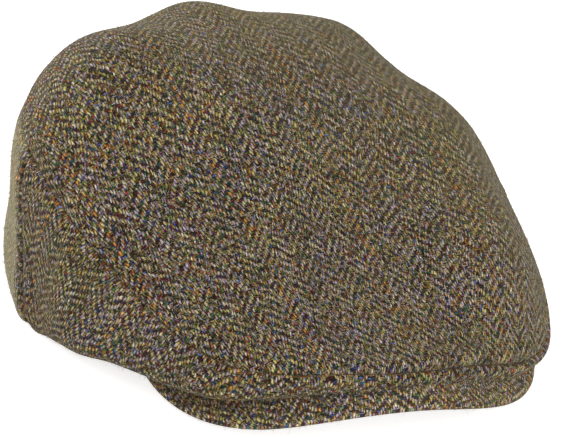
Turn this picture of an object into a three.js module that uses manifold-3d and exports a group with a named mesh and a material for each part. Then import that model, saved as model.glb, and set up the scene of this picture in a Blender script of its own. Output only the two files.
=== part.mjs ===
// Flat cap in herringbone tweed: a domed top panel, a band round its edge that narrows to a strip
// over the peak, a back panel behind two upright seams, and a stiff arched peak.
// Millimetres, +Z up, the peak toward -Y and the wearer's left toward +X.
import Module from 'manifold-3d';
import * as THREE from 'three';
import { mergeVertices } from 'three/addons/utils/BufferGeometryUtils.js';

// Crown sizes. The crown is the soft part that overhangs the head opening on all sides.
const CROWN_WIDTH = 240;
const CROWN_LENGTH = 262;
const CROWN_HEIGHT = 112;

// The soft crown has slumped this far to the wearer's right of the head opening
const CROWN_LEAN = 18;

// Head opening: an oval for a head of about 58 cm, set back from the middle of the crown
const HEAD_WIDTH = 164;
const HEAD_LENGTH = 198;
const HEAD_SETBACK = 10;

// Thickness of the cloth, and the gap that is left at every seam
const CLOTH = 2.2;
const GAP = 0.3;

// Peak sizes. The front is measured from the middle of the cap to the peak's foremost point.
const PEAK_WIDTH = 184;
const PEAK_LENGTH = 87;
const PEAK_FRONT = 127;
const PEAK_THICKNESS = 4.4;

// The peak sits a little to the wearer's left of the head opening
const PEAK_OFFSET = 3;

// How much of the peak shows in front of the strip, and how deep the strip presses into it
const PEAK_SHOWN = 12;
const LIP_TRIM = 2.2;

// The peak arches up in the middle of its front edge, and how fast that falls away to the sides
const PEAK_ARCH = 25;
const PEAK_ARCH_FALL = 3.8;

// The peak's outline: under 1 the squareness fills out its corners, and the ends draw in to a part of
// their length over the last share of the width
const PEAK_SQUARENESS = 0.88;
const PEAK_END_SHARE = 0.35;
const PEAK_END_START = 0.8;

// The peak rises from its edge to the head opening, by so much in the middle and at the ends
const PEAK_SLOPE_RISE = 15;
const PEAK_END_LIFT = 12;

// How far round the peak's inner and outer edges run from the front, in degrees
const PEAK_END_TURN = 72;
const PEAK_CURL_TURN = 104;

// The share of the peak's depth over which its front edge rounds off
const PEAK_ROUNDING = 0.05;

// Where the two upright seams start at the top, in degrees round from the front, and how many degrees
// they run forward on their way down
const BACK_SEAM_TURN = 101.25;
const BACK_SEAM_LEAN = 15;

// Mesh density, and the edge length under which a cut's slivers are taken out
const TURN_STEP = 3.75;
const TOP_STEPS = 12;
const BAND_STEPS = 11;
const ACROSS_STEPS = 44;
const SLIVER = 0.05;

const radians = THREE.MathUtils.degToRad;

// Sections round the cap, one row for each direction. turn is in degrees round from the front toward
// the wearer's left. Reaches are shares of the crown's half width and half length, heights are shares of
// the crown's height. The shoulder lies on the top panel at a fixed share of the seam's reach. Inside it
// the panel is a gently rounded slope, which falls to the front and a little to the wearer's left.
const MID_SHARE = 0.38;
const SHOULDER_SHARE = 0.78;
const CENTRE_SHARE = 0.855;
const CENTRE_FORWARD_SLOPE = 0.44;
const CENTRE_SIDE_SLOPE = 0.10;
const CENTRE_ROUNDING = 0.04;
const SECTION_COLUMNS = [
  'turn', 'shoulderHeight', 'seamReach', 'seamHeight',
  'bellyReach', 'bellyHeight', 'underReach', 'underHeight', 'rimHeight',
];
const SECTION_ROWS = [
  [0, 0.47, 0.91, 0.39, 0.915, 0.355, 0.895, 0.31, 0.15],
  [30, 0.44, 0.95, 0.30, 0.955, 0.26, 0.94, 0.21, 0.15],
  [60, 0.52, 1.08, 0.13, 1.09, 0.09, 1.03, 0.04, 0.12],
  [90, 0.65, 0.99, 0.34, 1.02, 0.22, 0.97, 0.05, 0.04],
  [120, 0.77, 0.90, 0.56, 0.96, 0.28, 0.92, 0.04, -0.02],
  [150, 0.89, 0.89, 0.69, 0.95, 0.32, 0.92, 0.04, -0.03],
  [180, 0.95, 0.86, 0.75, 0.97, 0.36, 0.94, 0.04, -0.03],
  [210, 0.95, 0.87, 0.79, 0.98, 0.40, 0.96, 0.04, -0.03],
  [240, 0.96, 0.95, 0.68, 0.99, 0.40, 0.97, 0.03, -0.03],
  [270, 0.80, 0.91, 0.66, 0.95, 0.28, 0.94, 0.00, -0.01],
  [300, 0.64, 0.82, 0.47, 0.88, 0.28, 0.87, 0.14, 0.15],
  [330, 0.52, 0.90, 0.38, 0.91, 0.33, 0.89, 0.26, 0.15],
];

// Soft dents and folds of the slumped crown, one row each. turn and station say where its middle is, the
// two spans how far it spreads round the cap and along the section, and depth how far the cloth sinks in
// there, as a share of the crown's height. A negative depth is a ridge.
const FOLD_COLUMNS = ['turn', 'station', 'turnSpan', 'stationSpan', 'depth'];
const FOLD_ROWS = [
  [234, 2.6, 12, 0.7, -0.036],
  [252, 3.2, 12, 0.8, -0.024],
  [206, 2.5, 8, 0.8, 0.018],
  [192, 2.4, 12, 0.8, -0.027],
  [173, 2.1, 14, 0.8, 0.031],
  [143, 2.2, 9, 0.9, -0.027],
  [108, 2.7, 12, 0.9, -0.049],
  [196, 1.1, 26, 0.5, 0.027],
  [60, 2.3, 10, 0.7, -0.018],
  [277, 4.3, 6, 0.8, 0.018],
  [285, 4.2, 5, 0.5, -0.018],
  [293, 4.7, 6, 0.5, -0.020],
  [290, 3.7, 7, 0.5, 0.022],
  [150, 4.0, 12, 0.8, 0.027],
  [205, 4.2, 14, 0.6, -0.022],
];

// A closed run of table rows read at any turn, by a cubic through the four nearest rows
function sectionValue(column, turn) {
  const index = SECTION_COLUMNS.indexOf(column);
  const count = SECTION_ROWS.length;
  const place = (((turn % 360) + 360) % 360) / (360 / count);
  const row = Math.floor(place) % count;
  const t = place - Math.floor(place);
  const value = (offset) => SECTION_ROWS[(row + offset + count) % count][index];
  const [a, b, c, d] = [value(-1), value(0), value(1), value(2)];
  return b + 0.5 * t * (c - a + t * (2 * a - 5 * b + 4 * c - d + t * (3 * (b - c) + d - a)));
}

// A turn brought between -180 and 180
function signedTurn(turn) {
  return (((turn + 180) % 360) + 360) % 360 - 180;
}

// How far all the folds together sink the cloth at a place
function foldDepth(turn, station) {
  const column = (name) => FOLD_COLUMNS.indexOf(name);
  return FOLD_ROWS.reduce((total, row) => {
    const round = signedTurn(turn - row[column('turn')]) / row[column('turnSpan')];
    const along = (station - row[column('station')]) / row[column('stationSpan')];
    return total + row[column('depth')] * Math.exp(-(round ** 2) - along ** 2);
  }, 0);
}

// A point at a turn and a share of the crown's half sizes
function crownPoint(turn, share, heightShare) {
  const angle = radians(turn);
  return new THREE.Vector3(
    (CROWN_WIDTH / 2) * share * Math.sin(angle) - CROWN_LEAN,
    -(CROWN_LENGTH / 2) * share * Math.cos(angle),
    CROWN_HEIGHT * heightShare,
  );
}

// The head opening's oval
function headPoint(turn, height) {
  const angle = radians(turn);
  return new THREE.Vector3(
    (HEAD_WIDTH / 2) * Math.sin(angle),
    HEAD_SETBACK - (HEAD_LENGTH / 2) * Math.cos(angle),
    height,
  );
}

// The peak's upper surface. across runs from -1 to 1 over its width, out from 0 at the head to 1 at
// the front edge.
function peakPoint(across, out) {
  const edge = radians(across * PEAK_CURL_TURN);
  const forward = Math.sign(Math.cos(edge)) * Math.abs(Math.cos(edge)) ** PEAK_SQUARENESS;
  const arch = PEAK_THICKNESS + PEAK_ARCH * Math.max(0, Math.cos(edge)) ** PEAK_ARCH_FALL;
  const outer = new THREE.Vector3(
    PEAK_OFFSET + (PEAK_WIDTH / 2) * Math.sin(edge),
    -(PEAK_FRONT - PEAK_LENGTH) - PEAK_LENGTH * forward,
    arch,
  );
  const rise = PEAK_SLOPE_RISE * Math.max(0, Math.cos(edge)) + PEAK_END_LIFT * Math.sin(edge) ** 2;
  const inner = headPoint(across * PEAK_END_TURN, arch + rise);
  const end = THREE.MathUtils.smoothstep(Math.abs(across), PEAK_END_START, 1);
  return inner.lerp(outer, out * (1 - end * (1 - PEAK_END_SHARE)));
}

// The band's lower edge: on the head oval round the sides and back, on the peak at the front
function rimPoint(turn) {
  const signed = signedTurn(turn);
  const across = signed / PEAK_END_TURN;
  if (Math.abs(across) >= 1) {
    return headPoint(signed, CROWN_HEIGHT * sectionValue('rimHeight', turn));
  }
  const depth = peakPoint(across, 0).distanceTo(peakPoint(across, 1));
  const point = peakPoint(across, Math.max(0, 1 - PEAK_SHOWN / depth));
  point.z -= LIP_TRIM;
  return point;
}

// The rounded slope round the crown's centre
function slopePoint(turn) {
  const point = crownPoint(turn, MID_SHARE, CENTRE_SHARE - CENTRE_ROUNDING);
  const side = point.x + CROWN_LEAN;
  point.z += CENTRE_FORWARD_SLOPE * point.y - CENTRE_SIDE_SLOPE * side;
  return point;
}

// One section from the crown's centre out over the seam and down to the rim. Stations count its points:
// 0 centre, 1 slope, 2 shoulder, 3 seam, 4 belly, 5 under, 6 rim.
const SEAM_STATION = 3;
const RIM_STATION = 6;
function sectionPoint(turn, station) {
  const ring = (share, column) => crownPoint(turn, share, sectionValue(column, turn));
  const seamReach = sectionValue('seamReach', turn);
  const points = [
    slopePoint(turn + 180),
    crownPoint(turn, 0, CENTRE_SHARE),
    slopePoint(turn),
    ring(SHOULDER_SHARE * seamReach, 'shoulderHeight'),
    ring(seamReach, 'seamHeight'),
    ring(sectionValue('bellyReach', turn), 'bellyHeight'),
    ring(sectionValue('underReach', turn), 'underHeight'),
    rimPoint(turn),
  ];
  const curve = new THREE.CatmullRomCurve3(points, false, 'centripetal');
  return curve.getPoint((station + 1) / (RIM_STATION + 1));
}

// The outward normal at a place, worked out from neighbouring points of a surface
const NORMAL_STATION_STEP = 0.04;
const NORMAL_TURN_STEP = 1.5;
function outwardNormal(surface, turn, station) {
  const low = Math.max(NORMAL_STATION_STEP / 2, station - NORMAL_STATION_STEP);
  const high = Math.min(RIM_STATION, station + NORMAL_STATION_STEP);
  const along = surface(turn, high).sub(surface(turn, low));
  const round = surface(turn + NORMAL_TURN_STEP, station).sub(surface(turn - NORMAL_TURN_STEP, station));
  return along.cross(round).normalize();
}

// The cap's outer face: the sections with their folds pressed in, flattened where the cap rests
function surfacePoint(turn, station) {
  const point = sectionPoint(turn, station);
  const depth = CROWN_HEIGHT * foldDepth(turn, station);
  point.addScaledVector(outwardNormal(sectionPoint, turn, station), -depth);
  point.z = Math.max(0, point.z);
  return point;
}

// A closed shell between a grid of outer points and a grid of inner points. Rows run outward or down and
// columns run round the cap. A ring that closes on itself may start at a centre instead of an edge.
function shellGeometry({ outer, inner, ring = false, centre = null }) {
  const rows = outer.length;
  const columns = outer[0].length;
  const points = [...outer.flat(), ...inner.flat()];
  const faces = [];
  const at = (side, i, j) => side * rows * columns + i * columns + (j % columns);
  const triangle = (a, b, c) => faces.push(a, b, c);
  const quad = (a, b, c, d) => {
    triangle(a, b, c);
    triangle(a, c, d);
  };
  const lastColumn = ring ? columns : columns - 1;
  for (let j = 0; j < lastColumn; j += 1) {
    for (let i = 0; i < rows - 1; i += 1) {
      quad(at(0, i, j), at(0, i + 1, j), at(0, i + 1, j + 1), at(0, i, j + 1));
      quad(at(1, i, j), at(1, i, j + 1), at(1, i + 1, j + 1), at(1, i + 1, j));
    }
    const last = rows - 1;
    quad(at(0, last, j), at(1, last, j), at(1, last, j + 1), at(0, last, j + 1));
    if (centre) {
      triangle(points.length, at(0, 0, j), at(0, 0, j + 1));
      triangle(points.length + 1, at(1, 0, j + 1), at(1, 0, j));
    } else {
      quad(at(0, 0, j), at(0, 0, j + 1), at(1, 0, j + 1), at(1, 0, j));
    }
  }
  if (centre) points.push(centre.outer, centre.inner);
  if (!ring) {
    for (let i = 0; i < rows - 1; i += 1) {
      const end = columns - 1;
      quad(at(0, i, 0), at(1, i, 0), at(1, i + 1, 0), at(0, i + 1, 0));
      quad(at(0, i, end), at(0, i + 1, end), at(1, i + 1, end), at(1, i, end));
    }
  }
  const geometry = new THREE.BufferGeometry();
  const numbers = points.flatMap((p) => [p.x, p.y, p.z]);
  geometry.setAttribute('position', new THREE.Float32BufferAttribute(numbers, 3));
  geometry.setIndex(faces);
  return geometry;
}

// Evenly spaced values from a start to an end
function spread(start, end, steps) {
  return Array.from({ length: steps + 1 }, (_, i) => start + ((end - start) * i) / steps);
}

// The outer face of a panel, and the inner face one cloth inside it. Columns are places round the panel
// and rows are shares of the way down it, which the panel turns into turns and stations.
function clothGrids(places, shares, turnAt, startStation, endStation) {
  const spot = (place, share) => {
    const turn = turnAt(place, share);
    const start = startStation(turn);
    return [turn, start + (endStation(turn) - start) * share];
  };
  const outer = shares.map((share) => places.map((place) => surfacePoint(...spot(place, share))));
  const inner = shares.map((share, i) => places.map((place, j) => {
    const normal = outwardNormal(surfacePoint, ...spot(place, share));
    return outer[i][j].clone().addScaledVector(normal, -CLOTH);
  }));
  return { outer, inner };
}

// The station half a seam gap away from the seam, on its upper side (-1) or its lower side (1)
const SEAM_PROBE = 0.05;
function seamEdge(turn, side) {
  const probe = sectionPoint(turn, SEAM_STATION + side * SEAM_PROBE);
  const distance = probe.distanceTo(sectionPoint(turn, SEAM_STATION));
  return SEAM_STATION + (side * SEAM_PROBE * GAP) / 2 / distance;
}

const cap = new THREE.Group();
function addPiece(name, geometry, color) {
  const material = new THREE.MeshStandardMaterial({ color, roughness: 0.95, metalness: 0 });
  const mesh = new THREE.Mesh(geometry, material);
  mesh.name = name;
  cap.add(mesh);
}

// Top panel
const roundTurns = spread(0, 360, 360 / TURN_STEP).slice(0, -1);
const topShares = spread(0, 1, TOP_STEPS).slice(1);
const topGrids = clothGrids(roundTurns, topShares, (turn) => turn, () => 0, (turn) => seamEdge(turn, -1));
const centre = { outer: surfacePoint(0, 0), inner: surfacePoint(0, 0) };
centre.inner.z -= CLOTH;
addPiece('crown_top', shellGeometry({ ...topGrids, ring: true, centre }), 0x6b6052);

// Peak, and the same peak grown all round by the seam gap. Its thickness is full up to the rounding and
// falls to a narrow front edge in steps, each a pair of a place in the rounding and a thickness share.
const OUT_STEPS = 5;
const EDGE_STEPS = [[0, 1], [0.5, 0.85], [0.85, 0.6], [1, 0.3]];
function peakGeometry(grow) {
  const acrossEnd = 1 + grow / PEAK_LENGTH;
  const acrossPlaces = spread(-acrossEnd, acrossEnd, ACROSS_STEPS);
  const flat = spread(0, 1 - PEAK_ROUNDING, OUT_STEPS).slice(0, -1).map((out) => [out, 1]);
  const rounded = EDGE_STEPS.map(([place, share]) => [1 - PEAK_ROUNDING * (1 - place), share]);
  const face = (side) => [...flat, ...rounded].map(([out, share]) => acrossPlaces.map((across) => {
    const point = peakPoint(across, out);
    const outward = peakPoint(across, 1).sub(peakPoint(across, 0));
    point.add(outward.setLength(grow * (2 * out - 1)));
    point.z += (side * (share * PEAK_THICKNESS + 2 * grow) - PEAK_THICKNESS) / 2;
    return point;
  }));
  return shellGeometry({ outer: face(1), inner: face(-1) });
}
addPiece('peak', peakGeometry(0), 0x655d51);

// Cuts a piece back from the peak and keeps its largest body
const wasm = await Module();
wasm.setup();
function solidOf(geometry) {
  const merged = mergeVertices(geometry);
  const vertProperties = new Float32Array(merged.attributes.position.array);
  const triVerts = new Uint32Array(merged.index.array);
  return new wasm.Manifold(new wasm.Mesh({ numProp: 3, vertProperties, triVerts }));
}
function cutFromPeak(geometry) {
  const bodies = solidOf(geometry).subtract(solidOf(peakGeometry(GAP))).decompose();
  const largest = bodies.reduce((best, body) => (body.volume() > best.volume() ? body : best));
  const mesh = largest.simplify(SLIVER).getMesh();
  const cut = new THREE.BufferGeometry();
  cut.setAttribute('position', new THREE.Float32BufferAttribute(mesh.vertProperties, 3));
  cut.setIndex(Array.from(mesh.triVerts));
  return cut;
}

// Band round the front and sides, and the panel behind its upright seams
const bandShares = spread(0, 1, BAND_STEPS);
const TURN_GAP = THREE.MathUtils.radToDeg(GAP / CROWN_WIDTH);
function bandGeometry(start, end) {
  const places = spread(0, 1, Math.round((end(0) - start(0)) / TURN_STEP));
  const turnAt = (place, share) => start(share) + (end(share) - start(share)) * place;
  const seam = (turn) => seamEdge(turn, 1);
  return shellGeometry(clothGrids(places, bandShares, turnAt, seam, () => RIM_STATION));
}
const bandEnd = (share) => BACK_SEAM_TURN - BACK_SEAM_LEAN * share - TURN_GAP;
const backStart = (share) => bandEnd(share) + 2 * TURN_GAP;
const band = bandGeometry((share) => -bandEnd(share), bandEnd);
addPiece('side_band', cutFromPeak(band), 0x6c6153);
addPiece('back_panel', bandGeometry(backStart, (share) => 360 - backStart(share)), 0x756a58);

// The cap stands on the middle of its own box
const box = new THREE.Box3().setFromObject(cap);
const middle = box.getCenter(new THREE.Vector3());
cap.position.set(-middle.x, -middle.y, -box.min.z);

export default cap;
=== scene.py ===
# %% [markdown]
# # A tweed flat cap
#
# The object is a soft flat cap, sewn from four pieces of woollen herringbone tweed: a large top panel, a
# band that goes round the front and sides, a back panel and a short stiff peak. This lesson loads the
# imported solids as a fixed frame, dresses them with cloth that has rounded edges, seams and slack, and
# then weaves the tweed in a shader.

# %% Load the frame
import bisect
import math
import random

import bmesh
import bpy
from mathutils import Matrix, Vector, noise


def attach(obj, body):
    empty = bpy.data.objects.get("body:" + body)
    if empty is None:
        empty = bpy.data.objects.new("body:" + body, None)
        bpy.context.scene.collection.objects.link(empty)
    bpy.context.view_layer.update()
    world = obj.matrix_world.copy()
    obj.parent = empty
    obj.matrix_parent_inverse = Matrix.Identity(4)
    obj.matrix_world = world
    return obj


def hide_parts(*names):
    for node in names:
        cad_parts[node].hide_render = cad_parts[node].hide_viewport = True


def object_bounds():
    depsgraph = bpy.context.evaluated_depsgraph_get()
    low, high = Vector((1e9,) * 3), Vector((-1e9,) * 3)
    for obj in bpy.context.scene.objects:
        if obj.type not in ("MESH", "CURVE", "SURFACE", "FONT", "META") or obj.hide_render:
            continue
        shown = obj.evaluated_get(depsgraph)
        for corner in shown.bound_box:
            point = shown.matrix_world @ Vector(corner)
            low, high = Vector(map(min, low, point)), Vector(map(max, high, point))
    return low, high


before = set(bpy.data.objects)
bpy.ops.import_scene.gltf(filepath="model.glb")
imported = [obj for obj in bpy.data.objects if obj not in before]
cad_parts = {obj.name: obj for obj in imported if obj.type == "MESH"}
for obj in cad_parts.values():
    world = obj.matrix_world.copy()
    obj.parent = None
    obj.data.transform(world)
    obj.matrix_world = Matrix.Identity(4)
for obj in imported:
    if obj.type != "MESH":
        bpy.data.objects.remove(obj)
cad_low, cad_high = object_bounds()
MM = 0.001
print("the solids:", sorted(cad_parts), "from", cad_low, "to", cad_high)

# %% [markdown]
# ## The sizes
#
# The cloth follows the same sections as the solids. One row of the table says where the section in one
# direction passes the shoulder, the seam, the belly, the turn underneath and the rim. A second table has
# the dents and ridges of the slumped crown, and a third one the padded roll of cloth that hangs over the
# peak. Tables like these are easier to correct against a photo than a sculpted mesh, because a number
# moves one place and leaves the rest alone.

# %% Sizes and tables, in millimetres
CROWN_WIDTH = 240
CROWN_LENGTH = 262
CROWN_HEIGHT = 112
CROWN_LEAN = 18
HEAD_WIDTH = 164
HEAD_LENGTH = 198
HEAD_SETBACK = 10
CLOTH = 2.2
PEAK_WIDTH = 184
PEAK_LENGTH = 87
PEAK_FRONT = 127
PEAK_THICKNESS = 4.4
PEAK_OFFSET = 3
PEAK_SHOWN = 12
PEAK_ARCH = 25
PEAK_ARCH_FALL = 3.8
PEAK_SQUARENESS = 0.88
PEAK_END_SHARE = 0.35
PEAK_END_START = 0.8
PEAK_SLOPE_RISE = 15
PEAK_END_LIFT = 12
PEAK_END_TURN = 72
PEAK_CURL_TURN = 104
LIP_LIFT = 0.4
BACK_SEAM_TURN = 101.25
BACK_SEAM_LEAN = 15
MID_SHARE = 0.38
SHOULDER_SHARE = 0.78
CENTRE_SHARE = 0.855
CENTRE_FORWARD_SLOPE = 0.44
CENTRE_SIDE_SLOPE = 0.10
CENTRE_ROUNDING = 0.04
SEAM_STATION = 3
RIM_STATION = 6

SECTION_COLUMNS = (
    "turn", "shoulder_height", "seam_reach", "seam_height",
    "belly_reach", "belly_height", "under_reach", "under_height", "rim_height",
)
SECTION_ROWS = (
    (0, 0.47, 0.91, 0.39, 0.915, 0.355, 0.895, 0.31, 0.15),
    (30, 0.44, 0.95, 0.30, 0.955, 0.26, 0.94, 0.21, 0.15),
    (60, 0.52, 1.08, 0.13, 1.09, 0.09, 1.03, 0.04, 0.12),
    (90, 0.65, 0.99, 0.34, 1.02, 0.22, 0.97, 0.05, 0.04),
    (120, 0.77, 0.90, 0.56, 0.96, 0.28, 0.92, 0.04, -0.02),
    (150, 0.89, 0.89, 0.69, 0.95, 0.32, 0.92, 0.04, -0.03),
    (180, 0.95, 0.86, 0.75, 0.97, 0.36, 0.94, 0.04, -0.03),
    (210, 0.95, 0.87, 0.79, 0.98, 0.40, 0.96, 0.04, -0.03),
    (240, 0.96, 0.95, 0.68, 0.99, 0.40, 0.97, 0.03, -0.03),
    (270, 0.80, 0.91, 0.66, 0.95, 0.28, 0.94, 0.00, -0.01),
    (300, 0.64, 0.82, 0.47, 0.88, 0.28, 0.87, 0.14, 0.15),
    (330, 0.52, 0.90, 0.38, 0.91, 0.33, 0.89, 0.26, 0.15),
)
FOLD_ROWS = (
    # turn, station, turn span, station span, depth as a share of the crown's height
    (234, 2.6, 12, 0.7, -0.036),
    (252, 3.2, 12, 0.8, -0.024),
    (206, 2.5, 8, 0.8, 0.018),
    (192, 2.4, 12, 0.8, -0.027),
    (173, 2.1, 14, 0.8, 0.031),
    (143, 2.2, 9, 0.9, -0.027),
    (108, 2.7, 12, 0.9, -0.049),
    (196, 1.1, 26, 0.5, 0.027),
    (60, 2.3, 10, 0.7, -0.018),
    (277, 4.3, 6, 0.8, 0.018),
    (285, 4.2, 5, 0.5, -0.018),
    (293, 4.7, 6, 0.5, -0.020),
    (290, 3.7, 7, 0.5, 0.022),
    (150, 4.0, 12, 0.8, 0.027),
    (205, 4.2, 14, 0.6, -0.022),
)
ROLL_ROWS = (
    # the same columns: the padded roll of cloth that hangs over the peak, which the solids leave plain
    (330, 5.15, 20, 0.6, -0.034),
    (8, 5.15, 16, 0.6, -0.012),
    (44, 5.15, 16, 0.6, -0.030),
)
print(len(SECTION_ROWS), "sections,", len(FOLD_ROWS), "folds,", len(ROLL_ROWS), "places of the roll")

# %% Read the tables
def section_value(column, turn):
    """A column of the closed table at any turn, by a cubic through the four nearest rows."""
    index = SECTION_COLUMNS.index(column)
    count = len(SECTION_ROWS)
    place = (turn % 360) / (360 / count)
    row = int(place) % count
    t = place - int(place)
    a, b, c, d = (SECTION_ROWS[(row + k) % count][index] for k in (-1, 0, 1, 2))
    return b + 0.5 * t * (c - a + t * (2 * a - 5 * b + 4 * c - d + t * (3 * (b - c) + d - a)))


def signed_turn(turn):
    """A turn brought between -180 and 180."""
    return (turn + 180) % 360 - 180


def fold_depth(turn, station):
    """How far all the folds together sink the cloth at a place, in millimetres."""
    total = 0
    for row_turn, row_station, turn_span, station_span, depth in FOLD_ROWS + ROLL_ROWS:
        round_part = signed_turn(turn - row_turn) / turn_span
        along_part = (station - row_station) / station_span
        total += depth * math.exp(-(round_part**2) - along_part**2)
    return CROWN_HEIGHT * total


print("seam height at the front:", round(CROWN_HEIGHT * section_value("seam_height", 0), 1), "mm")

# %% The points of one section
def crown_point(turn, share, height_share):
    """A point at a turn and a share of the crown's half sizes."""
    angle = math.radians(turn)
    return Vector((
        CROWN_WIDTH / 2 * share * math.sin(angle) - CROWN_LEAN,
        -CROWN_LENGTH / 2 * share * math.cos(angle),
        CROWN_HEIGHT * height_share,
    ))


def head_point(turn, height):
    """A point of the oval that goes round the head."""
    angle = math.radians(turn)
    return Vector((
        HEAD_WIDTH / 2 * math.sin(angle),
        HEAD_SETBACK - HEAD_LENGTH / 2 * math.cos(angle),
        height,
    ))


def ease(value, start, end):
    """0 before the start, 1 after the end, and a soft climb between them."""
    t = min(1, max(0, (value - start) / (end - start)))
    return t * t * (3 - 2 * t)


def peak_point(across, out):
    """The peak's upper face: across from -1 to 1, out from 0 at the head to 1 at the edge."""
    edge = math.radians(across * PEAK_CURL_TURN)
    forward = math.copysign(abs(math.cos(edge)) ** PEAK_SQUARENESS, math.cos(edge))
    arch = PEAK_THICKNESS + PEAK_ARCH * max(0, math.cos(edge)) ** PEAK_ARCH_FALL
    outer = Vector((
        PEAK_OFFSET + PEAK_WIDTH / 2 * math.sin(edge),
        -(PEAK_FRONT - PEAK_LENGTH) - PEAK_LENGTH * forward,
        arch,
    ))
    rise = PEAK_SLOPE_RISE * max(0, math.cos(edge)) + PEAK_END_LIFT * math.sin(edge) ** 2
    inner = head_point(across * PEAK_END_TURN, arch + rise)
    end = ease(abs(across), PEAK_END_START, 1)
    return inner.lerp(outer, out * (1 - end * (1 - PEAK_END_SHARE)))


def rim_point(turn):
    """The band's lower edge: round the head at the sides and back, on the peak at the front."""
    signed = signed_turn(turn)
    across = signed / PEAK_END_TURN
    if abs(across) >= 1:
        return head_point(signed, CROWN_HEIGHT * section_value("rim_height", turn))
    depth = (peak_point(across, 1) - peak_point(across, 0)).length
    return peak_point(across, max(0, 1 - PEAK_SHOWN / depth)) + Vector((0, 0, LIP_LIFT))


def slope_point(turn):
    """The rounded slope round the crown's centre."""
    point = crown_point(turn, MID_SHARE, CENTRE_SHARE - CENTRE_ROUNDING)
    side = point.x + CROWN_LEAN
    point.z += CENTRE_FORWARD_SLOPE * point.y - CENTRE_SIDE_SLOPE * side
    return point


print("the peak's foremost point:", peak_point(0, 1))

# %% [markdown]
# ## One smooth curve for each section
#
# A centripetal spline passes through all the points of a section and makes no loops between points that
# lie close together. The outward direction comes from neighbouring points, and the folds press the cloth
# in along it. Where the cap rests, the cloth is flat.

# %% The sections as smooth curves
SMALL_GAP = 0.01
NEAR_STATION = 0.04
NEAR_TURN = 1.5
SECTIONS = {}


def spline(p0, p1, p2, p3, t):
    """A centripetal curve from p1 to p2, with its neighbours p0 and p3."""
    gap_a = (p1 - p0).length ** 0.5
    gap_b = (p2 - p1).length ** 0.5
    gap_c = (p3 - p2).length ** 0.5
    gap_b = gap_b if gap_b > SMALL_GAP else 1
    gap_a = gap_a if gap_a > SMALL_GAP else gap_b
    gap_c = gap_c if gap_c > SMALL_GAP else gap_b
    start = ((p1 - p0) / gap_a - (p2 - p0) / (gap_a + gap_b) + (p2 - p1) / gap_b) * gap_b
    end = ((p2 - p1) / gap_b - (p3 - p1) / (gap_b + gap_c) + (p3 - p2) / gap_c) * gap_b
    square = 3 * (p2 - p1) - 2 * start - end
    cube = 2 * (p1 - p2) + start + end
    return p1 + start * t + square * t * t + cube * t**3


def section_points(turn):
    """The points of one section, kept so that each turn is worked out once."""
    key = round(turn, 6)
    if key not in SECTIONS:
        seam = section_value("seam_reach", turn)
        points = [slope_point(turn + 180), crown_point(turn, 0, CENTRE_SHARE), slope_point(turn)]
        shoulder = section_value("shoulder_height", turn)
        points.append(crown_point(turn, SHOULDER_SHARE * seam, shoulder))
        points.append(crown_point(turn, seam, section_value("seam_height", turn)))
        for place in ("belly", "under"):
            reach = section_value(place + "_reach", turn)
            points.append(crown_point(turn, reach, section_value(place + "_height", turn)))
        points.append(rim_point(turn))
        points.append(2 * points[-1] - points[-2])
        SECTIONS[key] = points
    return SECTIONS[key]


def section_point(turn, station):
    """A point of the cap's surface before its folds."""
    points = section_points(turn)
    index = min(int(station), RIM_STATION - 1)
    return spline(*points[index:index + 4], station - index)


def outward(surface, turn, station):
    """The outward direction at a place, from neighbouring points of a surface."""
    low = max(NEAR_STATION / 2, station - NEAR_STATION)
    high = min(RIM_STATION, station + NEAR_STATION)
    along = surface(turn, high) - surface(turn, low)
    around = surface(turn + NEAR_TURN, station) - surface(turn - NEAR_TURN, station)
    return along.cross(around).normalized()


def cap_point(turn, station):
    """A point of the cap's outer face, with its folds, flat where it rests."""
    point = section_point(turn, station)
    point = point - outward(section_point, turn, station) * fold_depth(turn, station)
    point.z = max(0, point.z)
    return point


print("the crown's centre:", cap_point(0, 0))

# %% [markdown]
# ## The cap's place in the frame
#
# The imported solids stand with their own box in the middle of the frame. Boxing the same surface here
# tells how far the cloth has to move sideways to lie on them.

# %% Where the part's own box puts the cap
quarters = range(4 * RIM_STATION + 1)
trial = [cap_point(turn, quarter / 4) for turn in range(0, 360, 5) for quarter in quarters]
trial += [peak_point(across / 20, 1) for across in range(-20, 21)]
low = Vector([min(p[k] for p in trial) for k in range(3)])
high = Vector([max(p[k] for p in trial) for k in range(3)])
cad_middle = (Vector(cad_low) + Vector(cad_high)) / 2
SHIFT = Vector((cad_middle.x / MM - (low.x + high.x) / 2, cad_middle.y / MM - (low.y + high.y) / 2, 0))
print("the cap moves by", SHIFT, "mm")

# %% [markdown]
# ## Cloth walls
#
# Each panel is one closed skin: an outer sheet, a rounded edge and an inner sheet one cloth below it. A
# flat grid is wrapped round the panel, so that half its rows lie outside and half inside, and its
# doubled points are merged. The grid also carries the cloth's own flat coordinates in a UV map, because
# a weave has to follow the cloth round every curve.

# %% Wrap a grid into a cloth wall
SAME_POINT = 0.00001
CROWDING = 1.8


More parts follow.
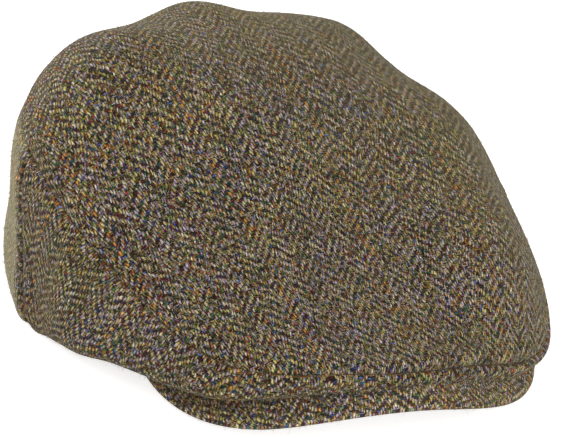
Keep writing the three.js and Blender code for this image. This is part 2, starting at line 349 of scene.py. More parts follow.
def wrapped_grid(name, columns, rows, place, lay):
    """A mesh from a grid. place(i, j) gives a point and lay(i, j) its place on the flat cloth, in mm."""
    bm = bmesh.new()
    bmesh.ops.create_grid(bm, x_segments=columns, y_segments=rows, size=0.5)
    cloth = bm.loops.layers.uv.new("cloth")
    spot = {v: (round((v.co.x + 0.5) * columns), round((v.co.y + 0.5) * rows)) for v in bm.verts}
    flat = {v: lay(*ij) for v, ij in spot.items()}
    for face in bm.faces:
        for loop in face.loops:
            loop[cloth].uv = Vector(flat[loop.vert]) * MM
    for v, ij in spot.items():
        v.co = (place(*ij) + SHIFT) * MM
    bmesh.ops.remove_doubles(bm, verts=bm.verts, dist=SAME_POINT)
    bmesh.ops.recalc_face_normals(bm, faces=bm.faces)
    mesh = bpy.data.meshes.new(name)
    bm.to_mesh(mesh)
    bm.free()
    mesh.shade_smooth()
    piece = bpy.data.objects.new(name, mesh)
    bpy.context.scene.collection.objects.link(piece)
    triangles = sum(len(p.vertices) - 2 for p in mesh.polygons)
    print(name, triangles, "triangles")
    return piece


def crowd(t, power=CROWDING):
    """A share from 0 to 1 whose steps get shorter toward both ends."""
    return 0.5 * (2 * t) ** power if t < 0.5 else 1 - 0.5 * (2 - 2 * t) ** power


# %% [markdown]
# ## Slack, seams and rolled edges
#
# Tweed never lies quite even. Two sizes of noise lift and sink the cloth by parts of a millimetre, and
# the cloth dips toward every seam and rolls up beside it, because the seam allowance behind it pulls it
# in and pads it out.

# %% The small relief of the cloth, in millimetres
SLACK = ((38, 0.9), (17, 0.35))  # the size of each noise, and its rise
SEAM_DIP = 1.1
SEAM_DIP_WIDTH = 1.6
SEAM_ROLL = 0.7
SEAM_ROLL_PLACE = 5.5
SEAM_ROLL_WIDTH = 3.5
STITCH_STEP = 3.4
STITCH_PULL = 0.5
EDGE_ROUNDING = 1.3


def slack(point):
    """How far the cloth stands up at a point because it is slack."""
    return sum(rise * noise.noise(point / size) for size, rise in SLACK)


def seam_relief(distance, along=0, strength=1):
    """The dip at a seam and the roll beside it. Stitches pull the dip deeper at every step along."""
    pull = 1 + STITCH_PULL * math.sin(2 * math.pi * along / STITCH_STEP)
    dip = SEAM_DIP * pull * math.exp(-((distance / SEAM_DIP_WIDTH) ** 2))
    roll = SEAM_ROLL * math.exp(-(((distance - SEAM_ROLL_PLACE) / SEAM_ROLL_WIDTH) ** 2))
    return strength * (roll - dip)


def edge_inset(distance):
    """How far each sheet is drawn toward the middle of the cloth near an edge."""
    if distance >= EDGE_ROUNDING:
        return 0
    return CLOTH / 2 * (1 - math.sqrt(max(0, 1 - (1 - distance / EDGE_ROUNDING) ** 2)))


print("relief beside a seam:", [round(seam_relief(d), 2) for d in (0, 2, 5, 10, 20)])

# %% [markdown]
# ## The top panel and the band
#
# Both are pieces of the same surface, so one builder makes them. It walks down each section, measures
# how far the cloth has come, and uses that length for the seam relief and for the flat coordinates. On
# the top panel the cloth spreads from its centre in all directions. The band is cut along its top seam,
# so its flat coordinates run along that seam and straight down from it.

# %% Lay the cloth flat
GRAIN = math.radians(12.5)
RUN_START = -110
RUN_END = 270
RUN_STEP = 1.25


def spread(start, end, steps):
    """Evenly spaced values from a start to an end."""
    return [start + (end - start) * k / steps for k in range(steps + 1)]


run_steps = round((RUN_END - RUN_START) / RUN_STEP)
seam_line = [cap_point(turn, SEAM_STATION) for turn in spread(RUN_START, RUN_END, run_steps)]
SEAM_RUN = [0]
for a, b in zip(seam_line, seam_line[1:]):
    SEAM_RUN.append(SEAM_RUN[-1] + (b - a).length)


def seam_run(turn):
    """The length of the top seam from the start of its table to a turn."""
    place = (turn - RUN_START) / RUN_STEP
    k = min(int(place), run_steps - 1)
    return SEAM_RUN[k] + (SEAM_RUN[k + 1] - SEAM_RUN[k]) * (place - k)


def lay_top(turns, points, run):
    """The top panel laid flat from its centre, with its grain turned as it was cut."""
    angle = math.radians(turns[0]) - GRAIN
    return [(r * math.sin(angle), -r * math.cos(angle)) for r in run]


def lay_band(turns, points, run):
    """The band laid flat: along its top seam, and straight down from it."""
    seam = (cap_point(turns[0] + 1, SEAM_STATION) - cap_point(turns[0] - 1, SEAM_STATION)).normalized()
    spots = [(seam_run(turns[0]), 0)]
    for a, b in zip(points, points[1:]):
        along = (b - a).dot(seam)
        down = math.sqrt(max(0, (b - a).length_squared - along**2))
        spots.append((spots[-1][0] + along, spots[-1][1] - down))
    return spots


print("the top seam is", round(seam_run(250) - seam_run(-110)), "mm long")

# %% [markdown]
# ## Seams and closed ends
#
# The top seam is pulled in most over the peak. The upright seams creep forward of the solids' joint on
# their way down, which is where the photo shows them. A skin also has to close where its grid ends: at
# the crown's centre all the sections share one point, and where the hem lies on the table the wall keeps
# its thickness.

# %% One builder for the panels
BAND_RADIUS = 120
FLAT_SEAM = 0.45
FRONT_SEAM = 1.5
FRONT_SEAM_TURN = 15
FRONT_SEAM_SPAN = 45
UPRIGHT_SEAM = 1.6
SEAM_CREEP_TOP = 2
SEAM_CREEP = 4
FACING_DOWN = -0.7


def seam_strength(turn):
    """The top seam is pulled in most over the peak, and lies flatter at the sides and back."""
    away = signed_turn(turn - FRONT_SEAM_TURN) / FRONT_SEAM_SPAN
    return FLAT_SEAM + (FRONT_SEAM - FLAT_SEAM) * math.exp(-(away**2))


def side_seam(share):
    """The turn of the upright seams at a share of the way down."""
    return BACK_SEAM_TURN - BACK_SEAM_LEAN * share - SEAM_CREEP_TOP - SEAM_CREEP * share


def panel(name, places, turn_at, start_station, end_station, rows, lay, sewn):
    """A cloth wall. The outer rows come first, the inner rows go back. A sewn one starts at a seam."""
    shares = [crowd(k / rows) if sewn else 1 - (1 - k / rows) ** CROWDING for k in range(rows + 1)]
    stations = [start_station + (end_station - start_station) * s for s in shares]
    outer, inner, flat = [], [], []
    for place in places:
        turns = [turn_at(place, share) for share in shares]
        # All the sections share one point and one outward direction at the crown's centre
        starts = [turn if station else 0 for turn, station in zip(turns, stations)]
        base = [cap_point(turn, station) for turn, station in zip(starts, stations)]
        run = [0]
        for a, b in zip(base, base[1:]):
            run.append(run[-1] + (b - a).length)
        flat.append(lay(turns, base, run))
        outer.append([])
        inner.append([])
        for k, (turn, point) in enumerate(zip(turns, base)):
            up = outward(cap_point, starts[k], stations[k])
            to_seam = run[k] if sewn else run[-1] - run[k]
            rise = slack(point) + seam_relief(to_seam, strength=seam_strength(turn))
            inset = edge_inset(min(to_seam, run[-1] - run[k]))
            if sewn:
                turned = abs(signed_turn(turn))
                to_side = abs(turned - side_seam(shares[k])) * math.radians(BAND_RADIUS)
                rise += seam_relief(to_side, run[k], UPRIGHT_SEAM)
                inset = max(inset, edge_inset(to_side))
            top = point + up * (rise - inset)
            bottom = point + up * (rise - CLOTH + inset)
            wall = CLOTH - 2 * inset
            lowest = min(wall, point.z + wall) if up.z < FACING_DOWN else 0.0
            top.z = max(0.0, top.z)
            bottom.z = max(lowest, bottom.z)
            outer[-1].append(top)
            inner[-1].append(bottom)

    def spot(i, j):
        return outer[i][j] if j <= rows else inner[i][2 * rows - j]

    def lay_at(i, j):
        return flat[i][j if j <= rows else 2 * rows - j]

    return wrapped_grid(name, len(places) - 1, 2 * rows, spot, lay_at)


# %% Build the top panel
TOP_COLUMNS = 288
TOP_ROWS = 60


def top_turn(place, share):
    """All the way round, as place runs from 0 to 360."""
    return place


top = panel("cloth_top", spread(0, 360, TOP_COLUMNS), top_turn, 0, SEAM_STATION, TOP_ROWS, lay_top, False)

# %% Build the band and the back panel
BAND_COLUMNS = 220
BACK_COLUMNS = 190
SIDE_ROWS = 56


def band_turn(place, share):
    """Round the front and sides, as place runs from -1 to 1."""
    return place * side_seam(share)


def back_turn(place, share):
    """Round the back, as place runs from -1 to 1."""
    return 180 + place * (180 - side_seam(share))


below_seam = (SEAM_STATION, RIM_STATION, SIDE_ROWS, lay_band, True)
band = panel("cloth_band", spread(-1, 1, BAND_COLUMNS), band_turn, *below_seam)
back = panel("cloth_back", spread(-1, 1, BACK_COLUMNS), back_turn, *below_seam)

# %% [markdown]
# ## The peak
#
# A peak is a stiff board covered in cloth on both sides, with the cloth drawn tight round its edge. The
# same wrapped grid makes it: it goes out over the top, round the edge and back underneath. Its thickness
# falls away toward every border, as a half circle does, so the edge is round and the skin closes.

# %% Build the peak
PEAK_EDGE = 2.6
PEAK_SLACK = 0.4
PEAK_COLUMNS = 200
PEAK_ROWS = 44
END_CROWDING = 1.3
EDGE_CROWDING = 2.0


def peak_half(across, out):
    """Half the peak's thickness at a place, which falls to nothing at its borders."""
    depth = (peak_point(across, 1) - peak_point(across, 0)).length
    end_room = (1 - abs(across)) * PEAK_WIDTH / 2
    room = min(out * depth, (1 - out) * depth, end_room)
    if room >= PEAK_EDGE:
        return PEAK_THICKNESS / 2
    return PEAK_THICKNESS / 2 * math.sqrt(max(0, 1 - (1 - room / PEAK_EDGE) ** 2))


def peak_spot(i, j):
    """How far across and out a grid point lies. The rows go out over the top and come back below."""
    k = j if j <= PEAK_ROWS else 2 * PEAK_ROWS - j
    return 2 * crowd(i / PEAK_COLUMNS, END_CROWDING) - 1, crowd(k / PEAK_ROWS, EDGE_CROWDING)


def peak_place(i, j):
    """A point of the peak's skin."""
    across, out = peak_spot(i, j)
    half = peak_half(across, out)
    point = peak_point(across, out) - Vector((0, 0, PEAK_THICKNESS / 2))
    point.z += half if j <= PEAK_ROWS else -half
    point.z += PEAK_SLACK * slack(point) * (half / PEAK_THICKNESS * 2)
    point.z = max(0, point.z)
    return point


def lay_peak(i, j):
    """The peak's cloth laid flat, so that it follows on round the edge."""
    across, out = peak_spot(i, j)
    start, end = peak_point(across, 0), peak_point(across, 1)
    direction = Vector((end.x - start.x, end.y - start.y))
    direction.normalize()
    run = out * (end - start).length
    wrap = PEAK_THICKNESS / 2 - peak_half(across, out) if out > 0.5 else 0
    return start.x + direction.x * (run + wrap), start.y + direction.y * (run + wrap)


peak = wrapped_grid("cloth_peak", PEAK_COLUMNS, 2 * PEAK_ROWS, peak_place, lay_peak)

# %% [markdown]
# ## The weave in a shader
#
# Herringbone is a twill whose direction turns round every few yarns. Here eight upright yarns slant one
# way and the next eight the other. Each crossing is worked out from the yarn's number and the thread's
# number, which gives the height of the cloth and says which yarn lies on top, and the gaps between yarns
# get painted shade. The colours are those of a heather tweed: pale, straw and lilac yarns over dark
# ones, with flecks, and a faint orange check. Short tufts and a pale nap soften the pattern, and the nap
# is partly painted sheen. A dark line of painted shade lies in the groove of the band's top seam, and
# each panel's copy of the tweed has its own painted light, which makes it lighter or darker.

# %% Helpers for shader maths
class Wool:
    """A socket in a shader, whose sums and comparisons add Math nodes."""

    def __init__(self, weaver, socket):
        self.weaver = weaver
        self.socket = socket

    def do(self, operation, *others):
        return self.weaver.add("ShaderNodeMath", {"operation": operation}, (self, *others))

    def __add__(self, other):
        return self.do("ADD", other)

    def __radd__(self, other):
        return self.do("ADD", other)

    def __sub__(self, other):
        return self.do("SUBTRACT", other)

    def __rsub__(self, other):
        return self.weaver.add("ShaderNodeMath", {"operation": "SUBTRACT"}, (other, self))

    def __mul__(self, other):
        return self.do("MULTIPLY", other)

    def __rmul__(self, other):
        return self.do("MULTIPLY", other)

    def __truediv__(self, other):
        return self.do("DIVIDE", other)

    def __mod__(self, other):
        return self.do("FLOORED_MODULO", other)

    def __pow__(self, other):
        return self.do("POWER", other)

    def __lt__(self, other):
        return self.do("LESS_THAN", other)

    def __gt__(self, other):
        return self.do("GREATER_THAN", other)

    def floor(self):
        return self.do("FLOOR")

    def sine(self):
        return self.do("SINE")


class Weaver:
    """Adds nodes to one material."""

    def __init__(self, name):
        self.material = bpy.data.materials.new(name)
        self.material.use_nodes = True
        self.tree = self.material.node_tree
        self.tree.nodes.clear()

    def add(self, kind, settings=None, inputs=(), output=0):
        """A node of a kind, with its settings first, then its sockets by place or by name."""
        node = self.tree.nodes.new(kind)
        for key, value in (settings or {}).items():
            if key == "stops":
                self.stops(node.color_ramp, value)
            else:
                setattr(node, key, value)
        pairs = inputs.items() if isinstance(inputs, dict) else enumerate(inputs)
        for key, value in pairs:
            if isinstance(value, Wool):
                self.tree.links.new(value.socket, node.inputs[key])
            else:
                node.inputs[key].default_value = value
        return Wool(self, node.outputs[output]) if len(node.outputs) else node

    def stops(self, ramp, colours):
        """Sets a ramp from pairs of a place and a colour."""
        while len(ramp.elements) > 1:
            ramp.elements.remove(ramp.elements[-1])
        for k, (place, colour) in enumerate(colours):
            element = ramp.elements[0] if k == 0 else ramp.elements.new(place)
            element.position = place
            element.color = (*colour, 1)
        ramp.interpolation = "CONSTANT"

    def cloud(self, place, scale, detail, output=0):
        """Noise at a place, with so many features a metre."""
        inputs = {"Vector": place, "Scale": scale, "Detail": detail}
        return self.add("ShaderNodeTexNoise", {}, inputs, output)

    def mix(self, factor, a, b):
        """A blend of two numbers."""
        return a + (b - a) * factor

    def blend(self, factor, a, b, kind="MIX"):
        """A blend of two colours."""
        settings = {"data_type": "RGBA", "blend_type": kind}
        colour = lambda c: c if isinstance(c, Wool) else (*c, 1)
        return self.add("ShaderNodeMix", settings, {0: factor, 6: colour(a), 7: colour(b)}, output=2)


# %% The colours of the yarns
STRAW = (0.35, 0.28, 0.10)
CREAM = (0.43, 0.38, 0.28)
LILAC = (0.28, 0.22, 0.28)
FAWN = (0.30, 0.20, 0.11)
OLIVE = (0.12, 0.14, 0.03)
RUST = (0.25, 0.085, 0.015)
ORANGE = (0.46, 0.17, 0.02)
BARK = (0.018, 0.012, 0.009)
UMBER = (0.055, 0.028, 0.014)
NAVY = (0.018, 0.030, 0.080)
TEAL = (0.012, 0.075, 0.062)
GREEN = (0.045, 0.130, 0.045)
MAROON = (0.110, 0.014, 0.024)
BLUE = (0.05, 0.12, 0.38)
RED = (0.34, 0.04, 0.035)

PALE_YARN = (
    (0.00, STRAW), (0.18, LILAC), (0.36, FAWN), (0.52, CREAM), (0.62, STRAW), (0.67, OLIVE),
    (0.73, LILAC), (0.79, RUST), (0.86, GREEN), (0.88, UMBER), (0.94, BARK), (0.985, MAROON),
)
DARK_YARN = (
    (0.00, BARK), (0.26, UMBER), (0.44, OLIVE), (0.52, NAVY), (0.62, MAROON), (0.74, TEAL),
    (0.79, GREEN), (0.81, FAWN), (0.86, RUST), (0.92, LILAC), (0.96, STRAW), (0.98, BLUE), (0.99, RED),
)
TUFT_WOOL = (
    (0.00, STRAW), (0.14, BARK), (0.30, LILAC), (0.42, OLIVE), (0.52, UMBER), (0.60, CREAM),
    (0.70, TEAL), (0.76, FAWN), (0.82, RUST), (0.86, NAVY), (0.91, MAROON), (0.94, ORANGE),
    (0.96, GREEN), (0.985, BLUE),
)
print(len(PALE_YARN), "pale,", len(DARK_YARN), "dark and", len(TUFT_WOOL), "tuft colours")

# %% The numbers of the weave
# Lengths on the cloth, in metres
END = 1.2 * MM
FLECK = 1.9 * MM
TUFT_LENGTH = 2.4 * MM
TUFT_WIDTH = 0.7 * MM
# The painted shade in the groove of the band's top seam: its width and how far it wanders
GROOVE_SHADE_WIDTH = 0.8 * MM
GROOVE_SHADE_WANDER = 2.5 * MM
FRONT_RUN = seam_run(30) * MM
FRONT_SPAN = 80 * MM
BUMP_DEPTH = 0.6 * MM

# Counts of yarns. The numbers start high, so that none is negative and no two yarns share one
STRIPE_ENDS = 8
CHECK_ENDS = 48
FIRST_YARN = 400
FIRST_WEFT = 1700
WOBBLE_ENDS = 2.6

# Features of each noise in a metre
WOBBLE_CLOUD = 170.0
FIBRE_CLOUD = 1900.0
PATCH_CLOUD = 26.0
WARM_CLOUD = 18.0
FUZZ_CLOUD = 1100.0

# A low value and the range above it, for heights and for how much light each thing leaves; the yarns'
# share is painted shade in the gaps between them
WARP_HIGH = (0.45, 0.55)
WEFT_HIGH = (0.25, 0.50)
YARN_GAP_SHADE = (0.2, 1.15)
FIBRE_LIGHT = (0.1, 1.8)
PATCH_LIGHT = (0.8, 0.4)
WARM_LIGHT = ((1, 0.25), (1.03, 0.25), (1.0, -0.7))

# Shares
FLECK_STEP = 0.618
FLECK_DARKEST = 0.5
TUFT_LEAN = 0.35
TUFT_SHOWN = 0.8
ORANGE_SHOWN = 0.85
RUST_SHOWN = 0.6
HAIRS_ALONG = 1.3
HAIRS_ACROSS = 2.2
HAIR_RELIEF = 0.4
TUFT_RELIEF = 0.3
BUMP = 0.75
# The least painted groove shade, away from the front
GROOVE_SHADE_FAINT = 0.15
# The nap and painted sheen: its largest share and its pale wool colour
NAP_AND_SHEEN_MOST = 0.32
NAP_AND_SHEEN_WOOL = (0.152, 0.125, 0.066)
STRAW_LIGHT = (1.0, 0.92, 0.58, 1)


def ranged(span, amount):
    """A low value and an amount of the range above it."""
    low, extra = span
    return low + extra * amount


print("a stripe is", round(STRIPE_ENDS * END / MM, 1), "mm wide")

# %% Weave the tweed

def tweed(name, check_shift, painted_light, cover, sheen, nap_and_painted_sheen, painted_sheen_rise=(0, 0), groove_shade=0):
    """Herringbone tweed on the cloth's flat coordinates. Tufts cover a share of the weave, and a pale
    nap, partly painted sheen, hides a share of it; the painted sheen rises across and up the cloth by so
    much a metre. The painted light gain makes this copy of the tweed lighter or darker. Cloth with groove
    shade is darkened by painted shade along the top seam's groove, most of all over the peak."""
    w = Weaver(name)
    cloth = w.add("ShaderNodeUVMap", {"uv_map": "cloth"})
    wobble = w.cloud(cloth, WOBBLE_CLOUD, 3.0, output=1)
    parts = w.add("ShaderNodeSeparateXYZ", {}, (cloth,))
    up_down = Wool(w, parts.socket.node.outputs[1])
    shift = w.add("ShaderNodeSeparateColor", {}, (wobble,))
    shift_v = Wool(w, shift.socket.node.outputs[1])
    ends = parts / END + (shift - 0.5) * WOBBLE_ENDS + FIRST_YARN
    picks = up_down / END + (shift_v - 0.5) * WOBBLE_ENDS + FIRST_YARN
    end, pick = ends.floor(), picks.floor()
    in_end, in_pick = ends - end, picks - pick

    # Which way the twill slants in this stripe, and which yarn lies on top at this crossing
    odd = (ends / STRIPE_ENDS).floor() % 2
    slant = 1 - 2 * odd
    phase = (pick + slant * end) % 4
    warp_up = phase < 1.5
    warp_run = (phase + in_pick) / 2
    weft_run = (w.mix(odd, phase - 2, 3 - phase) + in_end) / 2
    warp_round = 1 - (in_end * 2 - 1) ** 2
    weft_round = 1 - (in_pick * 2 - 1) ** 2
    warp_high = warp_round * ranged(WARP_HIGH, (warp_run * math.pi).sine())
    weft_high = weft_round * ranged(WEFT_HIGH, (weft_run * math.pi).sine())
    height = w.mix(warp_up, weft_high, warp_high)

    # Flecks: each yarn is two strands of mixed wool, which change colour along their length
    strand = (w.mix(warp_up, in_pick, in_end) * 2).floor()
    number = w.mix(warp_up, pick * 2 + FIRST_WEFT, end * 2) + strand
    along = w.mix(warp_up, parts, up_down) / FLECK + number * FLECK_STEP
    dab = w.add("ShaderNodeCombineXYZ", {}, (number, along.floor(), 0.0))
    chance = w.add("ShaderNodeTexWhiteNoise", {"noise_dimensions": "3D"}, {"Vector": dab})
    other = Wool(w, chance.socket.node.outputs["Color"])
    depth = w.add("ShaderNodeSeparateColor", {}, (other,), output=1)
    pale = w.add("ShaderNodeValToRGB", {"stops": PALE_YARN}, (chance,))
    dark = w.add("ShaderNodeValToRGB", {"stops": DARK_YARN}, (chance,))
    colour = w.blend(warp_up, dark, pale)

    # The orange and rust yarns of the check
    orange = ((end + check_shift) % CHECK_ENDS < 0.5) * warp_up
    rust = ((pick + check_shift) % CHECK_ENDS < 0.5) * (1 - warp_up)
    colour = w.blend(orange * ORANGE_SHOWN, colour, ORANGE)
    colour = w.blend(rust * RUST_SHOWN, colour, RUST)

    # Tufts of mixed wool lie along the upright yarns, leaning with the twill, and hide part of the weave
    tuft_along = (up_down + TUFT_LEAN * slant * parts) / TUFT_LENGTH
    tuft_across = (parts - TUFT_LEAN * slant * up_down) / TUFT_WIDTH
    tuft_place = w.add("ShaderNodeCombineXYZ", {}, (tuft_along, tuft_across, 0.0))
    flat = {"voronoi_dimensions": "2D"}
    tuft = w.add("ShaderNodeTexVoronoi", flat, {"Vector": tuft_place, "Scale": 1.0})
    tuft_dice = w.add("ShaderNodeSeparateColor", {}, (Wool(w, tuft.socket.node.outputs["Color"]),))
    tuft_pick = Wool(w, tuft_dice.socket.node.outputs[1])
    tuft_wool = w.add("ShaderNodeValToRGB", {"stops": TUFT_WOOL}, (tuft_dice,))
    colour = w.blend((tuft_pick < cover) * TUFT_SHOWN, colour, tuft_wool)

    # Fine fibres run with the tufts, and the gaps between yarns are dark with painted shade
    hairs = (tuft_along * HAIRS_ALONG, tuft_across * HAIRS_ACROSS, 0.0)
    hair_place = w.add("ShaderNodeCombineXYZ", {}, hairs)
    hair = w.add("ShaderNodeTexNoise", {"noise_dimensions": "2D"}, {"Vector": hair_place, "Scale": 1.0})
    fibre = w.cloud(cloth, FIBRE_CLOUD, 2.0)
    patch = w.cloud(cloth, PATCH_CLOUD, 2.0)
    grain = ranged(FIBRE_LIGHT, fibre) * ranged(FIBRE_LIGHT, hair)
    shade = ranged(YARN_GAP_SHADE, height) * grain * ranged(PATCH_LIGHT, patch)
    # Painted light: a gain for each panel makes lit and shaded copies of one tweed. The peak's gain lifts
    # it against the crown's shade over it, and the back panel's gain pales it as painted sheen.
    shade = shade * (FLECK_DARKEST + depth) * painted_light

    # Painted shade: the cloth is dark in the groove along the top seam, most of all over the peak
    if groove_shade:
        line = up_down + (shift_v - 0.5) * GROOVE_SHADE_WANDER > -GROOVE_SHADE_WIDTH
        near_front = (1 - ((parts - FRONT_RUN) / FRONT_SPAN) ** 2).do("MAXIMUM", GROOVE_SHADE_FAINT)
        shade = shade * (1 - groove_shade * line * near_front)

    # Large patches are a little warmer or cooler
    warm = w.cloud(cloth, WARM_CLOUD, 2.0) - 0.5
    tones = [shade * ranged(span, warm) for span in WARM_LIGHT]
    tint = w.add("ShaderNodeCombineColor", {}, tones)
    colour = w.blend(1.0, colour, tint, "MULTIPLY")

    # The nap and painted sheen: a pale wool haze softens the pattern, and as painted sheen it rises
    # across and up the cloth toward the edges seen edge on
    nap_sheen_share = nap_and_painted_sheen + parts * painted_sheen_rise[0] + up_down * painted_sheen_rise[1]
    nap_sheen_share = nap_sheen_share.do("MAXIMUM", 0.0).do("MINIMUM", NAP_AND_SHEEN_MOST)
    fuzz = w.cloud(cloth, FUZZ_CLOUD, 1.0, output=1)
    nap_and_sheen_wool = w.blend(1.0, NAP_AND_SHEEN_WOOL, fuzz, "OVERLAY")
    colour = w.blend(nap_sheen_share, colour, nap_and_sheen_wool)
    relief = height + HAIR_RELIEF * fibre + HAIR_RELIEF * hair - TUFT_RELIEF * tuft
    bump = w.add("ShaderNodeBump", {}, {"Strength": BUMP, "Distance": BUMP_DEPTH, "Height": relief})
    surface = w.add("ShaderNodeBsdfPrincipled", {}, {
        "Base Color": colour, "Roughness": 0.95, "Specular IOR Level": 0.15, "Normal": bump,
        "Sheen Weight": sheen, "Sheen Roughness": 0.40, "Sheen Tint": STRAW_LIGHT,
    })
    w.add("ShaderNodeOutputMaterial", {}, (surface,))
    print(name, len(w.tree.nodes), "nodes")
    return w.material


# One tweed in four copies. Each copy's gain is painted light, and its nap is partly painted sheen. The
# band's dark seam line is painted shade.
top_tweed = tweed(
    "tweed_top", check_shift=20, painted_light=1.04, cover=0.30, sheen=0.15, nap_and_painted_sheen=0.08, painted_sheen_rise=(2.2, 2.2)
)
band_tweed = tweed(
    "tweed_band", check_shift=33, painted_light=1.08, cover=0.20, sheen=0.12, nap_and_painted_sheen=0.0, groove_shade=0.6
)
back_tweed = tweed("tweed_back", check_shift=5, painted_light=1.35, cover=0.40, sheen=0.85, nap_and_painted_sheen=0.1)
peak_tweed = tweed("tweed_peak", check_shift=11, painted_light=1.5, cover=0.24, sheen=0.12, nap_and_painted_sheen=0.1)

# %% Dress the pieces and seat them on the body
DRESSED = (
    (top, "crown_top", "top_tweed", top_tweed),
    (band, "side_band", "band_tweed", band_tweed),
    (back, "back_panel", "back_tweed", back_tweed),
    (peak, "peak", "peak_tweed", peak_tweed),
)
for piece, node, slot, material in DRESSED:
    piece.data.materials.append(material)
    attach(piece, "root")
    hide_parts(node)
    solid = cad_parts[node].data
    solid.materials.clear()
    solid.materials.append(material)
print("dressed", [piece.name for piece, *_ in DRESSED])

# %% [markdown]
# ## Loose fibres
#
# Woollen yarn is hairy. Fine pale fibres stand off the cloth everywhere, which softens its outline and
# makes it paler where it is seen edge on. Each fibre is a ribbon of three faces. All of them come from
# one long grid, whose every second row of faces is taken away.

# %% The size and bend of a fibre
FIBRES = 26000
FIBRE_PARTS = 3
FIBRE_SEED = 11
FIBRE_LENGTH = (0.8, 2.6)  # the shortest in millimetres, and the range above it
FIBRE_LIFT = (0.15, 0.95)
FIBRE_LIFT_POWER = 1.3
FIBRE_CURL = 0.8
FIBRE_SCATTER = 1.2
FIBRE_BEND = 0.62
FIBRE_WIDTH = (0.07, 0.18)
FIBRE_TAPER = 0.6
INSIDE = Vector((0, 0, 0.03))
ROOT_ROOM = 0.002
FLOOR_ROOM = 0.0003


def outer_faces(piece):
    """The faces of a piece that look away from the inside of the cap, with their running area."""
    faces, total = [], 0
    for face in piece.data.polygons:
        if face.normal.dot(face.center - INSIDE) > 0 and face.center.z > ROOT_ROOM:
            total += face.area
            faces.append((total, face.center.copy(), face.normal.copy()))
    return faces


def fibre_curve(centre, normal, dice):
    """The points of one fibre, its side direction and its width."""
    flat = normal.orthogonal().normalized()
    flat.rotate(Matrix.Rotation(dice.uniform(0, 2 * math.pi), 3, normal))
    across = normal.cross(flat)
    length = ranged(FIBRE_LENGTH, dice.random() ** 2) * MM
    lift = dice.uniform(*FIBRE_LIFT) ** FIBRE_LIFT_POWER * length
    curl = dice.uniform(-FIBRE_CURL, FIBRE_CURL) * length
    scatter = flat * dice.uniform(-1, 1) + across * dice.uniform(-1, 1)
    root = centre + scatter * FIBRE_SCATTER * MM
    points = []
    for k in range(FIBRE_PARTS + 1):
        t = k / FIBRE_PARTS
        rise = lift * math.sin(t * math.pi * FIBRE_BEND)
        points.append(root + flat * length * t + across * curl * t * t + normal * rise)
    return points, across, dice.uniform(*FIBRE_WIDTH) * MM


print("fibres are", FIBRE_LENGTH[0], "to", sum(FIBRE_LENGTH), "mm long")

# %% Scatter the fibres
dice = random.Random(FIBRE_SEED)
bm = bmesh.new()
bmesh.ops.create_grid(bm, x_segments=FIBRE_PARTS, y_segments=2 * FIBRES - 1, size=0.5)
joints = [f for f in bm.faces if round((f.calc_center_median().y + 0.5) * (2 * FIBRES - 1) - 0.5) % 2]
bmesh.ops.delete(bm, geom=joints, context="FACES_ONLY")
rows = {}
for v in bm.verts:
    row = round((v.co.y + 0.5) * (2 * FIBRES - 1))
    rows.setdefault(row // 2, []).append((row % 2, round((v.co.x + 0.5) * FIBRE_PARTS), v))
pool = []
for piece in (top, band, back, peak):
    faces = outer_faces(piece)
    start = pool[-1][0] if pool else 0
    pool += [(start + total, centre, normal) for total, centre, normal in faces]
totals = [entry[0] for entry in pool]
strand_uv = bm.loops.layers.uv.new("cloth")
for number, strip in rows.items():
    pick = bisect.bisect(totals, dice.uniform(0, totals[-1]))
    _, centre, normal = pool[min(pick, len(pool) - 1)]
    points, across, width = fibre_curve(centre, normal, dice)
    for edge, k, v in strip:
        thin = width * (1 - FIBRE_TAPER * k / FIBRE_PARTS)
        v.co = points[k] + across * thin * (edge - 0.5)
        v.co.z = max(v.co.z, FLOOR_ROOM)
        for loop in v.link_loops:
            loop[strand_uv].uv = (number * MM, k * MM)
mesh = bpy.data.meshes.new("wool_fibres")
bm.to_mesh(mesh)
bm.free()
fibres = bpy.data.objects.new("wool_fibres", mesh)
bpy.context.scene.collection.objects.link(fibres)
print("fibres:", len(rows), "with", len(mesh.polygons), "faces")

# %% The colour of the fibres
FIBRE_WOOL = (
    (0.00, CREAM), (0.25, STRAW), (0.50, LILAC), (0.64, FAWN), (0.75, OLIVE), (0.83, ORANGE),
    (0.89, GREEN), (0.94, NAVY), (0.97, MAROON),
)
w = Weaver("loose_wool")
strand = w.add("ShaderNodeSeparateXYZ", {}, (w.add("ShaderNodeUVMap", {"uv_map": "cloth"}),))
count = (strand / MM + 0.5).floor()
chance = w.add("ShaderNodeTexWhiteNoise", {"noise_dimensions": "1D"}, {"W": count})
wool = w.add("ShaderNodeValToRGB", {"stops": FIBRE_WOOL}, (chance,))
surface = w.add("ShaderNodeBsdfPrincipled", {}, {
    "Base Color": wool, "Roughness": 0.9, "Specular IOR Level": 0.2,
})
w.add("ShaderNodeOutputMaterial", {}, (surface,))
fibres.data.materials.append(w.material)
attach(fibres, "root")
print("fibre colours:", len(FIBRE_WOOL))

# %% [markdown]
# ## Floor, light and camera
#
# The cap lies on a white table under a wide, soft light, so its shadows are thin and pale. The camera
# looks down at it from the front and its right-hand side, through a long lens, and is turned a little.

# %% The floor
WHITE = (1.0, 1.0, 1.0, 1)
FLOOR_SIZE = 6
FLOOR_DROP = 0.0002
FLOOR_PAINT = (0.90, 0.90, 0.90, 1)
FLOOR_GLOW = 0.68

bpy.ops.mesh.primitive_plane_add(size=FLOOR_SIZE, location=(0, 0, -FLOOR_DROP))
floor = bpy.context.object
floor.name = "floor"
paint = Weaver("white_table")
white = paint.add("ShaderNodeBsdfPrincipled", {}, {
    "Base Color": FLOOR_PAINT, "Roughness": 0.8,
    "Emission Color": WHITE, "Emission Strength": FLOOR_GLOW,
})
paint.add("ShaderNodeOutputMaterial", {}, (white,))
floor.data.materials.append(paint.material)
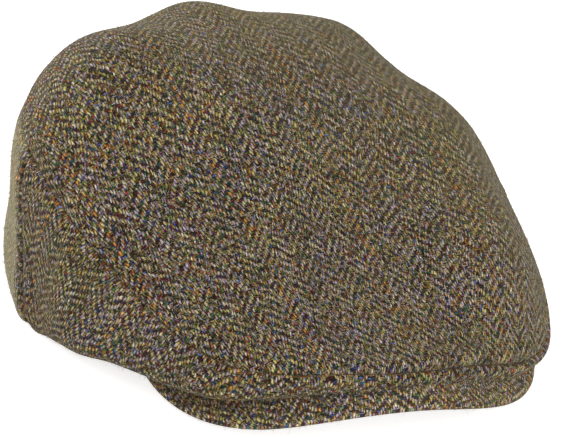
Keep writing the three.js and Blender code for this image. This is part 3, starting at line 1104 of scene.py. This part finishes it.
# The glow whitens the table, and must not light the cap from below
floor.visible_diffuse = False
print("floor at", floor.location.z)

# %% The lights
WORLD_STRENGTH = 0.55
LIGHT_AIM = Vector((0, 0, 0.05))
LIGHTS = (
    # name, azimuth, elevation, distance and size in metres, power in watts
    ("key", 8, 30, 1.6, 1.4, 17),
    ("fill", -75, 35, 1.8, 1.6, 2),
    ("rim", -145, 14, 1.4, 1.0, 18),
)

world = bpy.data.worlds.new("studio")
bpy.context.scene.world = world
world.use_nodes = True
sky = world.node_tree.nodes["Background"]
sky.inputs["Color"].default_value = WHITE
sky.inputs["Strength"].default_value = WORLD_STRENGTH
bpy.context.scene.view_settings.view_transform = "Standard"


def soft_light(name, azimuth, elevation, distance, size, power):
    """A square soft light that faces the cap."""
    data = bpy.data.lights.new(name, "AREA")
    data.size = size
    data.energy = power
    light = bpy.data.objects.new(name, data)
    a, e = math.radians(azimuth), math.radians(elevation)
    offset = Vector((math.sin(a) * math.cos(e), -math.cos(a) * math.cos(e), math.sin(e)))
    light.location = offset * distance + LIGHT_AIM
    light.rotation_euler = offset.to_track_quat("Z", "Y").to_euler()
    bpy.context.scene.collection.objects.link(light)


for settings in LIGHTS:
    soft_light(*settings)

# %% The camera
IMAGE_WIDTH = 561
IMAGE_HEIGHT = 438
AZIMUTH = math.radians(-22)
ELEVATION = math.radians(33)
ROLL = math.radians(8)
PIXELS_PER_MM = 2.2
DISTANCE = 1500
TARGET = Vector((0, 0, 45))
TARGET_PIXEL = (280, 216)
SENSOR = 36

side = Vector((math.cos(AZIMUTH), math.sin(AZIMUTH), 0))
rise = Vector((
    -math.sin(AZIMUTH) * math.sin(ELEVATION),
    math.cos(AZIMUTH) * math.sin(ELEVATION),
    math.cos(ELEVATION),
))
toward = side.cross(rise)
image_right = side * math.cos(ROLL) + rise * math.sin(ROLL)
image_up = -side * math.sin(ROLL) + rise * math.cos(ROLL)
aim = TARGET + image_right * (IMAGE_WIDTH / 2 - TARGET_PIXEL[0]) / PIXELS_PER_MM
aim -= image_up * (IMAGE_HEIGHT / 2 - TARGET_PIXEL[1]) / PIXELS_PER_MM

lens = bpy.data.cameras.new("camera")
lens.sensor_width = SENSOR
lens.lens = SENSOR * DISTANCE / (IMAGE_WIDTH / PIXELS_PER_MM)
camera = bpy.data.objects.new("camera", lens)
turned = Matrix((image_right, image_up, toward)).transposed().to_4x4()
camera.matrix_world = Matrix.Translation((aim + toward * DISTANCE) * MM) @ turned
bpy.context.scene.collection.objects.link(camera)
bpy.context.scene.camera = camera
print("camera at", camera.matrix_world.translation, "lens", round(lens.lens, 1), "mm")
